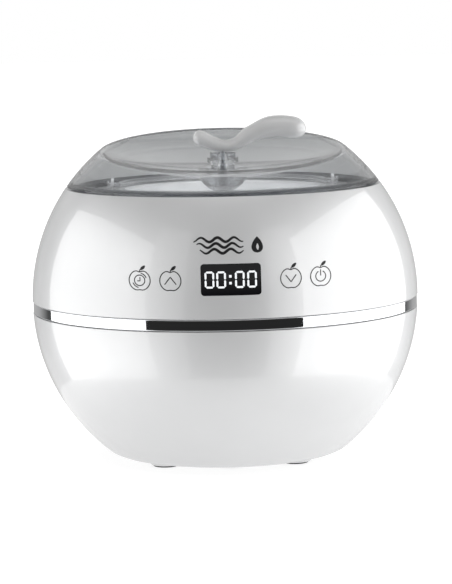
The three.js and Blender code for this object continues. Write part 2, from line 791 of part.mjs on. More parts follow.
add(warmer, 'heating_well', 'aluminium', heatingWell());
add(warmer, 'insulation_sleeve', 'felt', insulationSleeve());
add(warmer, 'heating_element', 'steel', heatingElement());
add(warmer, 'mica_pad', 'mica', micaPad());
add(warmer, 'clamp_plate', 'steel', clampPlate());
add(warmer, 'temperature_sensor', 'brass', temperatureSensor());
add(warmer, 'thermal_fuse', 'steel', thermalFuse());

add(warmer, 'display_window', 'black_gloss', displayWindow());
add(warmer, 'display_module', 'black_plastic', displayModule());
add(warmer, 'control_board', 'board', controlBoard());
add(warmer, 'control_board_screw_left', 'steel', controlBoardScrew(-CONTROL_BOSS.x));
add(warmer, 'control_board_screw_right', 'steel', controlBoardScrew(CONTROL_BOSS.x));
for (const [key, x] of Object.entries(KEY_X)) {
  add(warmer, `touch_contact_${key}`, 'brass', touchContact(x));
}

add(warmer, 'power_board', 'board', powerBoard());
add(warmer, 'transformer', 'mica', transformer());
add(warmer, 'relay', 'component', relay());
add(warmer, 'filter_capacitor', 'black_plastic', filterCapacitor());
add(warmer, 'terminal_block', 'component', terminalBlock());
for (const at of boardHoles) {
  const corner = `${at[1] < 0 ? 'front' : 'back'}_${at[0] < 0 ? 'left' : 'right'}`;
  add(warmer, `power_board_screw_${corner}`, 'steel', powerBoardScrew(), [...at, 0]);
}

add(warmer, 'mains_inlet', 'black_plastic', mainsInlet());
add(warmer, 'inlet_shroud', 'black_plastic', inletShroud());
pinPlaces.forEach((x, i) => {
  add(warmer, `inlet_pin_${['left', 'right'][i]}`, 'brass', inletPin(), [x, 0, 0]);
});
add(warmer, 'inlet_lead', 'wire', lead(2.4, [
  [0, 75.6, INLET_Z], [0, 71, INLET_Z], [9, 61, 43], [18, 48, 40],
  [25, 30, 36], [26, 18, 33], [26, 16.5, 30], [26, 16.5, 26.6],
]));
add(warmer, 'heater_lead', 'wire', lead(2.2, [
  [0, 0, 87], [0, 0, 72], [4, -4, 56], [9, -15, 42], [9.5, -16.5, 38], [9.5, -16.5, 31.9],
]));
add(warmer, 'control_lead', 'wire', lead(2.2, [
  [20, -84.0, 104], [20, -79, 104], [22, -72, 88], [24, -66, 66],
  [25, -46, 38], [26, -23, 27], [26, -19, 22], [26, -19, 16.5],
]));

add(warmer, 'wax_pot', 'aluminium', waxPot());
add(warmer, 'pot_bail', 'steel', potBail());

add(warmer, 'lid_shell', 'clear', lidShell());
const dishAxis = new THREE.Group();
dishAxis.rotation.x = LID_TILT;
const dishFloor = LIP_HEIGHT - DISH_DEPTH;
dishAxis.position.set(0, -dishFloor * Math.sin(LID_TILT), BALL_CENTRE_Z + dishFloor * Math.cos(LID_TILT));
warmer.add(dishAxis);
add(dishAxis, 'handle_socket', 'clear', handleSocket());
add(dishAxis, 'retaining_clip', 'clear', retainingClip());
add(dishAxis, 'handle_screw', 'steel', handleScrew());
add(dishAxis, 'lid_handle', 'handle_white', lidHandle());

export default warmer;
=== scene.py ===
# A ball-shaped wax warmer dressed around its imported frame: fine shells, a clear dished lid with a leaf
# handle, a polished pot, a lit display and printed touch keys. Lengths in the helpers are millimetres.
import bpy
import bmesh
import math
import numpy as np
from mathutils import Matrix, Vector


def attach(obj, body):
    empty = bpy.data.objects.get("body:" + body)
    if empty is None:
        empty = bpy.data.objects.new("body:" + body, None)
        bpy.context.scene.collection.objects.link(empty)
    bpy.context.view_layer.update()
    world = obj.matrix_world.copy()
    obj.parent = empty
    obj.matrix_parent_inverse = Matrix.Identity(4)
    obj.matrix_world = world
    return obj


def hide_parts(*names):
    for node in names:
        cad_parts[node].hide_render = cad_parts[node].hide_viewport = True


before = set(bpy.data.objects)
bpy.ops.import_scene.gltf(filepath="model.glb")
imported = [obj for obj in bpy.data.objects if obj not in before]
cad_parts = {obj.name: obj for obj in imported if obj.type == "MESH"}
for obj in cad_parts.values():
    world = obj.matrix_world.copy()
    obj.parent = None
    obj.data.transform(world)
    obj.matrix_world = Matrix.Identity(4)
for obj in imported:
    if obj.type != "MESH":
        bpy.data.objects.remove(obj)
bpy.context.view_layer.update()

scene = bpy.context.scene
MM = 0.001
RAD = math.radians(1)

# ------------------------------------------------------------------ dimensions, as in the frame

BALL = 108.0
BALL_Z = 88.4
WALL = 2.7
BASE_Z = 2.0
BAND_LOW, BAND_HIGH = 82.2, 88.4
RIM_Z = 151.0
DECK_Z = 148.2
LID_RIM_Z = 151.9
LID_WALL = 2.8
LID_TILT = 6.9 * RAD
LIP_HEIGHT = 84.6
LIP_ROUND = 4.0
DISH_DEPTH = 11.0
SKIRT_OUT, SKIRT_IN = 84.9, 82.9
LID_HOLE = 6.1
BAIL_Z = 152.2
PANEL_Z = 109.2
INLET_Z = 45.0
PILLAR_CIRCLE = 52
FOOT_X, FOOT_Y = 35.5, 40.5
FOOT_RADIUS, FOOT_TOP = 7.2, 2.8
FOOT_BOSS_RADIUS, FOOT_BOSS_LOW, FOOT_BOSS_HIGH = 8.6, 0.9, 3.6
FOOT_RECESS_RADIUS, FOOT_RECESS_TOP = 7.4, 3.1
PIN_X = 4.3
FINE = 176  # facets round the large turned pieces


def ball_radius(z, inset=0.0):
    return math.sqrt((BALL - inset) ** 2 - (z - BALL_Z) ** 2)


def ball_arc(z_from, z_to, inset, steps):
    """(radius, z) points along the ball, inset from its surface, between two heights."""
    radius = BALL - inset
    a = math.asin((z_from - BALL_Z) / radius)
    b = math.asin((z_to - BALL_Z) / radius)
    angles = np.linspace(a, b, steps + 1)
    return [(radius * math.cos(t), BALL_Z + radius * math.sin(t)) for t in angles]


# ------------------------------------------------------------------ mesh building

class Form:
    """Points in millimetres and the faces between them."""

    def __init__(self):
        self.points = []
        self.faces = []

    def ring(self, points):
        start = len(self.points)
        self.points.extend(tuple(p) for p in points)
        return list(range(start, len(self.points)))

    def move(self, start, matrix):
        """Moves the points from index start on."""
        self.points[start:] = [tuple(matrix @ Vector(p)) for p in self.points[start:]]

    def bridge(self, a, b):
        count = max(len(a), len(b))
        for i in range(count):
            j = (i + 1) % count
            if len(a) == 1:
                self.faces.append((a[0], b[j], b[i]))
            elif len(b) == 1:
                self.faces.append((a[i], a[j], b[0]))
            else:
                self.faces.append((a[i], a[j], b[j], b[i]))

    def skin(self, rings, closed):
        """A skin over a run of rings, closed on itself or capped at both ends."""
        rings = [self.ring(r) for r in rings]
        for a, b in zip(rings, rings[1:]):
            self.bridge(a, b)
        if closed:
            self.bridge(rings[-1], rings[0])
        else:
            for end in (rings[0], rings[-1]):
                if len(end) > 2:
                    self.faces.append(tuple(end))

    def make(self, name, matrix=Matrix.Identity(4), angle=32, weighted=False):
        mesh = bpy.data.meshes.new(name)
        points = [(matrix @ Vector(p)) * MM for p in self.points]
        mesh.from_pydata(points, [], self.faces)
        work = bmesh.new()
        work.from_mesh(mesh)
        bmesh.ops.remove_doubles(work, verts=work.verts, dist=1e-7)
        bmesh.ops.recalc_face_normals(work, faces=work.faces)
        work.to_mesh(mesh)
        work.free()
        obj = bpy.data.objects.new(name, mesh)
        scene.collection.objects.link(obj)
        smooth(obj, angle)
        if weighted:
            modifier = obj.modifiers.new("weighted", "WEIGHTED_NORMAL")
            modifier.keep_sharp = True
        return obj


def smooth(obj, angle):
    obj.data.shade_smooth()
    obj.data.set_sharp_from_angle(angle=angle * RAD)


def rounded(corners, steps=5):
    """An outline from (r, z, rounding) corners, each rounding an arc between its two edges."""
    outline = []
    count = len(corners)
    for i, (r, z, rounding) in enumerate(corners):
        p = Vector((r, z))
        if rounding <= 0:
            outline.append((r, z))
            continue
        a = Vector(corners[i - 1][:2]) - p
        b = Vector(corners[(i + 1) % count][:2]) - p
        half = a.angle(b) / 2
        reach = min(rounding / math.tan(half), 0.49 * a.length, 0.49 * b.length)
        radius = reach * math.tan(half)
        a.normalize()
        b.normalize()
        centre = p + (a + b).normalized() * radius / math.sin(half)
        first = p + a * reach - centre
        turn = first.angle_signed(p + b * reach - centre)
        for k in range(steps + 1):
            t = -turn * k / steps
            x = first.x * math.cos(t) - first.y * math.sin(t)
            y = first.x * math.sin(t) + first.y * math.cos(t)
            outline.append((centre.x + x, centre.y + y))
    return outline


def turned_form(outline, segments=FINE, form=None):
    """A closed outline of (radius, z) turned about the upright axis."""
    form = form or Form()
    turns = np.linspace(0, 2 * math.pi, segments, endpoint=False)
    rings = []
    for r, z in outline:
        if r < 1e-5:
            rings.append(form.ring([(0, 0, z)]))
        else:
            rings.append(form.ring([(r * math.cos(t), r * math.sin(t), z) for t in turns]))
    for a, b in zip(rings, rings[1:] + rings[:1]):
        if len(a) > 1 or len(b) > 1:
            form.bridge(a, b)
    return form


def turned(name, outline, segments=FINE, matrix=Matrix.Identity(4), weighted=True, angle=32):
    return turned_form(outline, segments).make(name, matrix, angle, weighted)


def rounded_rectangle(width, height, corner, steps=6):
    half_w, half_h = width / 2 - corner, height / 2 - corner
    points = []
    for k, (sx, sz) in enumerate(((1, 1), (-1, 1), (-1, -1), (1, -1))):
        for i in range(steps + 1):
            t = (k + i / steps) * math.pi / 2
            points.append((sx * half_w + corner * math.cos(t), sz * half_h + corner * math.sin(t)))
    return points


def prism_form(width, height, corner, low, high, edge=0.0, form=None):
    """A rounded rectangle in XZ drawn along Y, its two rims rounded by edge."""
    form = form or Form()
    rings = []
    steps = 4 if edge else 0
    for side, y in ((-1, low), (1, high)):
        for k in range(steps + 1):
            t = (k if side < 0 else steps - k) / max(steps, 1) * math.pi / 2
            inset = edge * (1 - math.sin(t))
            depth = y - side * edge * (1 - math.cos(t)) if edge else y
            shape = rounded_rectangle(width - 2 * inset, height - 2 * inset, max(corner - inset, 0.05))
            rings.append([(x, depth, z) for x, z in shape])
    form.skin(rings, False)
    return form


def swept(path, radius, sides=14, form=None):
    """A round wire along a path of points."""
    form = form or Form()
    path = [Vector(p) for p in path]
    side = None
    rings = []
    for i, p in enumerate(path):
        along = (path[min(i + 1, len(path) - 1)] - path[max(i - 1, 0)]).normalized()
        if side is None:
            side = along.orthogonal().normalized()
        side = (side - along * side.dot(along)).normalized()
        other = along.cross(side)
        turns = np.linspace(0, 2 * math.pi, sides, endpoint=False)
        rings.append([p + side * radius * math.cos(t) + other * radius * math.sin(t) for t in turns])
    form.skin(rings, False)
    return form


def boolean(obj, tools, operation="DIFFERENCE", angle=32):
    """Cuts or joins each tool, then drops the tools."""
    for tool in tools:
        modifier = obj.modifiers.new("cut", "BOOLEAN")
        modifier.operation = operation
        modifier.solver = "EXACT"
        modifier.object = tool
    bpy.context.view_layer.update()
    graph = bpy.context.evaluated_depsgraph_get()
    mesh = bpy.data.meshes.new_from_object(obj.evaluated_get(graph), depsgraph=graph)
    obj.modifiers.clear()
    obj.data = mesh
    for tool in tools:
        bpy.data.objects.remove(tool)
    smooth(obj, angle)


def ball_normals(obj, radius):
    """Gives the faces on the ball's surface the ball's own normals, so cuts leave no dents in the gloss."""
    mesh = obj.data
    corners = len(mesh.loops)
    vertex = np.zeros(corners, int)
    mesh.loops.foreach_get("vertex_index", vertex)
    place = np.zeros(len(mesh.vertices) * 3)
    mesh.vertices.foreach_get("co", place)
    place = place.reshape(-1, 3)[vertex] - np.array((0, 0, BALL_Z * MM))
    normal = np.zeros(corners * 3)
    mesh.corner_normals.foreach_get("vector", normal)
    normal = normal.reshape(-1, 3)
    face_normal = np.repeat(
        np.array([p.normal for p in mesh.polygons]), [p.loop_total for p in mesh.polygons], axis=0
    )
    length = np.linalg.norm(place, axis=1)
    outward = place / length[:, None]
    on_ball = (abs(length - radius * MM) < 2e-5) & ((outward * face_normal).sum(1) > 0.97)
    normal[on_ball] = outward[on_ball]
    mesh.normals_split_custom_set(normal.tolist())


# ------------------------------------------------------------------ materials

def material(name, colour, roughness, tint=0.02, grain=0.03, scale=40.0, bump=0.0, bump_scale=900.0,
             spun=False, **sockets):
    """A procedural finish: colour and roughness drift over the surface, with a fine relief, spun or even."""
    mat = bpy.data.materials.new(name)
    mat.use_nodes = True
    tree = mat.node_tree
    nodes, links = tree.nodes, tree.links
    shader = nodes["Principled BSDF"]
    place = nodes.new("ShaderNodeTexCoord").outputs["Object"]

    drift = nodes.new("ShaderNodeTexNoise")
    drift.inputs["Scale"].default_value = scale
    drift.inputs["Detail"].default_value = 5.0
    links.new(place, drift.inputs["Vector"])

    ramp = nodes.new("ShaderNodeValToRGB")
    ramp.color_ramp.elements[0].position = 0.3
    ramp.color_ramp.elements[1].position = 0.7
    low = [c * (1 - tint) for c in colour]
    high = [min(c * (1 + tint), 1.0) for c in colour]
    ramp.color_ramp.elements[0].color = (*low, 1)
    ramp.color_ramp.elements[1].color = (*high, 1)
    links.new(drift.outputs["Fac"], ramp.inputs["Fac"])
    links.new(ramp.outputs["Color"], shader.inputs["Base Color"])

    wear = nodes.new("ShaderNodeTexNoise")
    wear.inputs["Scale"].default_value = scale * 7
    wear.inputs["Detail"].default_value = 8.0
    links.new(place, wear.inputs["Vector"])
    spread = nodes.new("ShaderNodeMapRange")
    spread.inputs["From Min"].default_value = 0.3
    spread.inputs["From Max"].default_value = 0.7
    spread.inputs["To Min"].default_value = max(roughness - grain, 0.0)
    spread.inputs["To Max"].default_value = roughness + grain
    links.new(wear.outputs["Fac"], spread.inputs["Value"])
    links.new(spread.outputs["Result"], shader.inputs["Roughness"])

    if bump:
        relief = nodes.new("ShaderNodeTexNoise")
        relief.inputs["Scale"].default_value = bump_scale
        relief.inputs["Detail"].default_value = 3.0
        if spun:
            split = nodes.new("ShaderNodeSeparateXYZ")
            flat = nodes.new("ShaderNodeCombineXYZ")
            reach = nodes.new("ShaderNodeVectorMath")
            reach.operation = "LENGTH"
            turned_place = nodes.new("ShaderNodeCombineXYZ")
            links.new(place, split.inputs[0])
            links.new(split.outputs["X"], flat.inputs["X"])
            links.new(split.outputs["Y"], flat.inputs["Y"])
            links.new(flat.outputs[0], reach.inputs[0])
            links.new(reach.outputs["Value"], turned_place.inputs["X"])
            links.new(split.outputs["Z"], turned_place.inputs["Z"])
            links.new(turned_place.outputs[0], relief.inputs["Vector"])
        else:
            links.new(place, relief.inputs["Vector"])
        dent = nodes.new("ShaderNodeBump")
        dent.inputs["Strength"].default_value = 1.0
        dent.inputs["Distance"].default_value = bump * MM
        links.new(relief.outputs["Fac"], dent.inputs["Height"])
        links.new(dent.outputs["Normal"], shader.inputs["Normal"])

    for socket, value in sockets.items():
        shader.inputs[socket.replace("_", " ")].default_value = value
    return mat


def paint_lid_gap_shadow(mat, low, high, shade):
    """Paints shade into the base colour towards the foot of an upright piece, below and between two heights:
    a painted shadow for the dark gap it stands in.
    """
    nodes, links = mat.node_tree.nodes, mat.node_tree.links
    shader = nodes["Principled BSDF"]
    split = nodes.new("ShaderNodeSeparateXYZ")
    links.new(nodes.new("ShaderNodeTexCoord").outputs["Object"], split.inputs[0])
    fade = nodes.new("ShaderNodeMapRange")
    fade.inputs["From Min"].default_value = low * MM
    fade.inputs["From Max"].default_value = high * MM
    links.new(split.outputs["Z"], fade.inputs["Value"])
    blend = nodes.new("ShaderNodeMix")
    blend.data_type = "RGBA"
    links.new(fade.outputs["Result"], blend.inputs[0])
    blend.inputs[6].default_value = (*shade, 1)
    links.new(shader.inputs["Base Color"].links[0].from_socket, blend.inputs[7])
    links.new(blend.outputs[2], shader.inputs["Base Color"])


def grey(level):
    return (level, level, level)


white_gloss = material(
    "pearl_white_casing", (0.80, 0.805, 0.81), 0.38, tint=0.012, grain=0.03, scale=30, bump=0.002,
    bump_scale=55, Metallic=0.28, Specular_IOR_Level=1.0, Coat_Weight=1.0, Coat_Roughness=0.02, Coat_IOR=1.5,
)
# painted shade: the collar's white plastic is greyed for the dim space it sits in under the lid
collar_white_painted_shade = material(
    "white_collar_painted_shade", (0.62, 0.625, 0.63), 0.3, tint=0.015, grain=0.05, scale=50, bump=0.004, bump_scale=900,
    Coat_Weight=0.4, Coat_Roughness=0.08,
)
ACRYLIC_IOR = 1.49
clear = material(
    "clear_lid_plastic", (0.93, 0.945, 0.955), 0.012, tint=0.01, grain=0.008, scale=60, bump=0.003,
    bump_scale=90, Transmission_Weight=1.0, IOR=ACRYLIC_IOR, Alpha=0.9,
)
# painted shadow: the lid's foot is darkened where the gap between lid and casing lies in shade
paint_lid_gap_shadow(clear, LID_RIM_Z + 0.6, LID_RIM_Z + 1.6, (0.13, 0.14, 0.155))
clear_fitting = material(
    "clear_fitting_plastic", (0.9, 0.915, 0.93), 0.02, tint=0.01, grain=0.01, scale=90, bump=0.002,
    bump_scale=120, Transmission_Weight=1.0, IOR=ACRYLIC_IOR,
)
# painted shade: the clip's clear plastic is tinted darker than the other clear fittings, standing for the
# dark pot seen through its windows
clip_clear_painted_shade = material(
    "clip_plastic_painted_shade", (0.6, 0.615, 0.635), 0.02, tint=0.01, grain=0.01, scale=90, bump=0.002,
    bump_scale=120, Transmission_Weight=1.0, IOR=ACRYLIC_IOR,
)
handle_white = material(
    "handle_plastic", (0.86, 0.863, 0.866), 0.2, tint=0.02, grain=0.05, scale=45, bump=0.002, bump_scale=60,
    Subsurface_Weight=0.6, Subsurface_Radius=(1, 1, 1), Subsurface_Scale=0.004, Coat_Weight=0.5,
    Coat_Roughness=0.05,
)
chrome = material(
    "chrome_trim", (0.86, 0.87, 0.885), 0.035, tint=0.01, grain=0.015, scale=80, bump=0.0008, bump_scale=700,
    Metallic=1.0,
)
polished = material(
    "polished_aluminium", (0.93, 0.935, 0.945), 0.12, tint=0.02, grain=0.04, scale=60, bump=0.0006,
    bump_scale=700, spun=True, Metallic=0.65,
)
steel = material(
    "plated_steel", (0.56, 0.565, 0.575), 0.2, tint=0.05, grain=0.06, scale=120, bump=0.002, bump_scale=260,
    Metallic=1.0,
)
brass = material(
    "brass", (0.66, 0.47, 0.2), 0.26, tint=0.08, grain=0.08, scale=150, bump=0.004, bump_scale=1800,
    Metallic=1.0,
)
black_gloss = material(
    "smoked_window", (0.006, 0.006, 0.008), 0.05, tint=0.2, grain=0.02, scale=90, bump=0.0008, bump_scale=500,
    Coat_Weight=1.0, Coat_Roughness=0.02,
)
black_plastic = material(
    "black_moulding", (0.02, 0.02, 0.022), 0.48, tint=0.2, grain=0.08, scale=90, bump=0.02, bump_scale=2400,
)
rubber = material(
    "foot_rubber", (0.028, 0.028, 0.03), 0.78, tint=0.25, grain=0.1, scale=150, bump=0.05, bump_scale=1800,
)
lit = material(
    "display_light", (0.85, 0.87, 0.88), 0.4, tint=0.05, grain=0.05, scale=900, bump=0.01, bump_scale=3000,
    Emission_Color=(0.93, 0.97, 1.0, 1), Emission_Strength=0.62,
)
unlit = material(
    "display_unlit", (0.028, 0.029, 0.031), 0.35, tint=0.2, grain=0.1, scale=900, bump=0.01, bump_scale=3000,
)
ink = material(
    "printed_ink", (0.012, 0.012, 0.013), 0.42, tint=0.3, grain=0.1, scale=1200, bump=0.006, bump_scale=5000,
)
board_green = material(
    "circuit_board", (0.02, 0.13, 0.05), 0.45, tint=0.25, grain=0.12, scale=300, bump=0.03, bump_scale=1400,
)
felt = material(
    "insulation_felt", (0.66, 0.61, 0.5), 0.92, tint=0.18, grain=0.06, scale=260, bump=0.3, bump_scale=900,
)
mica = material(
    "mica_sheet", (0.5, 0.4, 0.26), 0.5, tint=0.2, grain=0.15, scale=140, bump=0.05, bump_scale=700,
)
blue = material(
    "blue_component", (0.03, 0.09, 0.32), 0.42, tint=0.12, grain=0.08, scale=160, bump=0.03, bump_scale=1500,
)
tape = material(
    "transformer_tape", (0.62, 0.45, 0.08), 0.5, tint=0.12, grain=0.1, scale=180, bump=0.05, bump_scale=800,
)
sleeve = material(
    "lead_sleeve", (0.74, 0.74, 0.71), 0.5, tint=0.05, grain=0.08, scale=240, bump=0.04, bump_scale=1600,
)


def dress(obj, finish, body="base", replaces=()):
    obj.data.materials.clear()
    obj.data.materials.append(finish)
    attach(obj, body)
    if replaces:
        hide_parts(*replaces)
    return obj


# CAD nodes that keep their own shape
kept = [
    (steel, [
        "casing_screw_right", "casing_screw_back", "casing_screw_left", "casing_screw_front",
        "heating_element", "clamp_plate", "thermal_fuse", "control_board_screw_left",
        "control_board_screw_right", "power_board_screw_front_left", "power_board_screw_front_right",
        "power_board_screw_back_left", "power_board_screw_back_right",
    ]),
    (brass, [
        "temperature_sensor", "touch_contact_timer", "touch_contact_up", "touch_contact_down",
        "touch_contact_power",
    ]),
    (board_green, ["control_board", "power_board"]),
    (felt, ["insulation_sleeve"]),
    (mica, ["mica_pad"]),
    (blue, ["relay", "terminal_block"]),
    (tape, ["transformer"]),
    (black_plastic, ["display_module", "filter_capacitor"]),
    (sleeve, ["inlet_lead", "heater_lead", "control_lead"]),
]
for finish, names in kept:
    for node in names:
        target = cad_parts[node]
        if not target.material_slots:
            target.data.materials.append(finish)
        for holder in target.material_slots:
            holder.material = finish

# ------------------------------------------------------------------ the casing's two shells

EDGE = 0.3
RIM_ROUND = 0.6
WINDOW_PLACE = Matrix.Translation((0, 0, PANEL_Z))
INLET_PLACE = Matrix.Translation((0, 0, INLET_Z))


def edge_arc(centre_r, centre_z, radius, from_angle, to_angle, steps=4):
    angles = np.linspace(from_angle * RAD, to_angle * RAD, steps + 1)
    return [(centre_r + radius * math.cos(t), centre_z + radius * math.sin(t)) for t in angles]


upper_low = BAND_HIGH + 0.25
rim_lean = math.asin((RIM_Z - BALL_Z) / BALL) / RAD
rim_z = RIM_Z - RIM_ROUND + RIM_ROUND * math.sin(rim_lean * RAD)
rim_r = ball_radius(rim_z) - RIM_ROUND * math.cos(rim_lean * RAD)
upper_outline = [
    *edge_arc(ball_radius(upper_low + EDGE) - EDGE, upper_low + EDGE, EDGE, -90, 0),
    *ball_arc(upper_low + EDGE + 0.4, rim_z - 0.4, 0, 64),
    *edge_arc(rim_r, RIM_Z - RIM_ROUND, RIM_ROUND, rim_lean, 90, 6),
    (86.3, RIM_Z), (85.85, RIM_Z - 0.15), (85.7, RIM_Z - RIM_ROUND),
    (85.7, 145.6), (81.0, 145.6), (81.0, 144.0),
    *ball_arc(144.0, upper_low, WALL, 24),
]
upper = turned("upper_shell", upper_outline, weighted=False)
opening = prism_form(31.54, 16.34, 1.75, -116, -98).make("tool", WINDOW_PLACE)
boolean(upper, [opening])
ball_normals(upper, BALL)
dress(upper, white_gloss, "base", ["upper_casing"])

lower_high = BAND_LOW - 0.25
lower_outline = [
    (0, BASE_Z), (62.6, BASE_Z),
    *edge_arc(62.6, BASE_Z + 2.4, 2.4, -85, -60, 4),
    *ball_arc(3.6, lower_high - EDGE - 0.4, 0, 88),
    *edge_arc(ball_radius(lower_high - EDGE) - EDGE, lower_high - EDGE, EDGE, 0, 90),
    *ball_arc(lower_high, 5.0, WALL, 30),
    (0, 5.0),
]
lower = turned("lower_shell", lower_outline, weighted=False)
pillars, bores, recesses, slots = Form(), Form(), Form(), Form()
for k in range(4):
    t = k * math.pi / 2
    place = Matrix.Translation((PILLAR_CIRCLE * math.cos(t), PILLAR_CIRCLE * math.sin(t), 0))
    for form, outline in (
        (pillars, [(0, 4), (6.4, 4), (6.4, 77.6), (0, 77.6)]),
        (bores, [(0, -1), (5.0, -1), (4.5, 2.6), (4.5, 66.2), (2.4, 66.2), (2.4, 80), (0, 80)]),
    ):
        start = len(form.points)
        turned_form(outline, 40, form).move(start, place)
feet = {"back_right": (FOOT_X, FOOT_Y), "back_left": (-FOOT_X, FOOT_Y),
        "front_left": (-FOOT_X, -FOOT_Y), "front_right": (FOOT_X, -FOOT_Y)}
for x, y in feet.values():
    for form, outline in (
        (pillars, rounded([
            (0, FOOT_BOSS_LOW, 0), (FOOT_BOSS_RADIUS, FOOT_BOSS_LOW, 0.5),
            (FOOT_BOSS_RADIUS, FOOT_BOSS_HIGH, 0), (0, FOOT_BOSS_HIGH, 0),
        ])),
        (recesses, [
            (0, -1), (FOOT_RECESS_RADIUS, -1), (FOOT_RECESS_RADIUS, FOOT_RECESS_TOP), (0, FOOT_RECESS_TOP),
        ]),
    ):
        start = len(form.points)
        turned_form(outline, 64, form).move(start, Matrix.Translation((x, y, 0)))
for k in range(8):
    spin = Matrix.Rotation((k + 0.5) * math.pi / 4, 4, "Z") @ Matrix.Translation((26, 0, 4))
    spin = spin @ Matrix.Rotation(math.pi / 2, 4, "X")
    start = len(slots.points)
    prism_form(15, 3, 1.45, -5, 5, form=slots).move(start, spin)
inlet_cut = prism_form(28, 14, 3.2, 80, 112)
boolean(lower, [pillars.make("tool_pillars")], "UNION")
boolean(lower, [
    bores.make("tool_bores"), recesses.make("tool_recesses"), slots.make("tool_slots"),
    inlet_cut.make("tool_inlet", INLET_PLACE),
])
ball_normals(lower, BALL)
dress(lower, white_gloss, "base", ["lower_casing"])

band = turned("trim_band", rounded([
    (102.2, 78.5, 0), (104.2, 78.5, 0), (104.2, BAND_LOW, 0), (107.55, BAND_LOW, 0.7),
    (107.55, BAND_HIGH, 0.7), (104.2, BAND_HIGH, 0), (104.2, 92.1, 0), (102.2, 92.1, 0),
]))
dress(band, chrome, "base", ["chrome_band"])

collar = turned("deck_collar", rounded([
    (85.4, 145.9, 0.3), (85.4, DECK_Z, 0.5), (69.6, DECK_Z, 0.8), (68.4, 146.4, 0.5),
    (61.6, 146.4, 0.4), (61.6, 144.8, 0.3), (70.2, 144.8, 0), (71.2, 145.9, 0),
]))
dress(collar, collar_white_painted_shade, "base", ["deck_ring"])

for corner, (x, y) in feet.items():
    pad = turned(f"pad_{corner}", rounded([
        (0, 0.5, 0), (3.2, 0.5, 0.2), (3.6, 0, 0.3), (FOOT_RADIUS, 0, 0.4),
        (FOOT_RADIUS, FOOT_TOP, 0.3), (0, FOOT_TOP, 0),
    ]), 56, Matrix.Translation((x, y, 0)))
    dress(pad, rubber, "base", [f"foot_{corner}"])

# ------------------------------------------------------------------ the well, the pot and its bail

well = turned("well_liner", rounded([
    (0, 88, 0), (57.6, 88, 0), (60, 90.4, 1.2), (60, 146.7, 0.6), (67.2, 146.7, 0.3), (67.2, 147.9, 0.3),
    (58.4, 147.9, 0.6), (58.4, 91.4, 1.0), (56.8, 89.8, 1.0), (0, 89.8, 0),
]))
dress(well, polished, "base", ["heating_well"])

pot = turned("pot_body", rounded([
    (0, 90.4, 0), (54.6, 90.4, 2.4), (57.6, 93.4, 2.0), (57.6, 148.2, 0.4), (66.4, 148.2, 0.5),
    (66.4, 149.6, 0.5), (56.4, 149.6, 1.4), (56.4, 93.2, 2.4), (54.4, 91.6, 2.4), (0, 91.6, 0),
], 8))
dress(pot, polished, "pot", ["wax_pot"])

EAR_X, EAR_RADIUS, EAR_HALF, EAR_FOOT_Z, EYE_RADIUS = 61.5, 4, 0.8, 149.2, 1.9
across = Matrix.Translation((0, 0, BAIL_Z)) @ Matrix.Rotation(math.pi / 2, 4, "Y")
for side, label in ((-1, "left"), (1, "right")):
    outline = [(EAR_RADIUS, EAR_FOOT_Z)]
    outline += [(EAR_RADIUS * math.cos(t), BAIL_Z + EAR_RADIUS * math.sin(t))
                for t in np.linspace(0, math.pi, 25)]
    outline += [(-EAR_RADIUS, EAR_FOOT_Z)]
    form = Form()
    form.skin([[(side * EAR_X + dx, y, z) for y, z in outline] for dx in (-EAR_HALF, EAR_HALF)], False)
    ear = form.make(f"pot_ear_{label}")
    eye = turned_form([(0, -70), (EYE_RADIUS, -70), (EYE_RADIUS, 70), (0, 70)], 24).make("tool_eye", across)
    boolean(ear, [eye])
    dress(ear, polished, "pot")

WIRE_RADIUS, BAIL_RADIUS, BAIL_BEND = 1.35, 58, 2.6
BAIL_END = BAIL_RADIUS + BAIL_BEND


def bail_end(side):
    """The wire's straight end through one ear and its bend round to the bow, from the tip inwards."""
    straight = [(side * x, 0, BAIL_Z) for x in (64.0, 62.0, BAIL_END)]
    return straight + [
        (side * (BAIL_END - BAIL_BEND * math.sin(t)), BAIL_BEND - BAIL_BEND * math.cos(t), BAIL_Z)
        for t in np.linspace(0.2, math.pi / 2, 6)
    ]


bow = [(BAIL_RADIUS * math.cos(t), BAIL_RADIUS * math.sin(t), BAIL_Z)
       for t in np.linspace(0.07, math.pi - 0.07, 72)]
wire = swept(bail_end(1) + bow + bail_end(-1)[::-1], WIRE_RADIUS)
for side in (1, -1):
    start = len(wire.points)
    turned_form(rounded([(0, 63.3, 0), (2.3, 63.3, 0.2), (2.3, 64.75, 0.7), (0, 64.75, 0)]), 24, wire)
    wire.move(start, across @ Matrix.Diagonal((1, 1, side, 1)))
dress(wire.make("bail_wire", angle=40), steel, "bail", ["pot_bail"])

# ------------------------------------------------------------------ the lid


def lid_ring(radius, height, lean):
    """A ring about the lid's axis, which leans from upright (0) to the dish's tilt (1)."""
    a = lean * LID_TILT
    turns = np.linspace(0, 2 * math.pi, FINE, endpoint=False)
    side = radius * np.sin(turns)
    return np.stack([
        radius * np.cos(turns),
        side * math.cos(a) - height * math.sin(a),
        BALL_Z + side * math.sin(a) + height * math.cos(a),
    ], 1)


def leaning_rings(radius, height_from, height_to, steps):
    a, b = math.acos(height_from / radius), math.acos(height_to / radius)
    rings = []
    for i in range(steps + 1):
        lean = i / steps
        t = a + (b - a) * lean
        rings.append(lid_ring(radius * math.sin(t), radius * math.cos(t), lean))
    return rings


lip_radius = math.sqrt(BALL ** 2 - LIP_HEIGHT ** 2)
bowl_radius = (lip_radius ** 2 + DISH_DEPTH ** 2) / (2 * DISH_DEPTH)
bowl_centre = LIP_HEIGHT - DISH_DEPTH + bowl_radius
lip_inner = BALL - LIP_ROUND
lip_outer = bowl_radius + LIP_ROUND
lip_z = (bowl_centre ** 2 + lip_inner ** 2 - lip_outer ** 2) / (2 * bowl_centre)
lip_r = math.sqrt(lip_inner ** 2 - lip_z ** 2)
ball_angle = math.atan2(lip_z, lip_r)
bowl_angle = math.atan2(bowl_centre - lip_z, -lip_r)


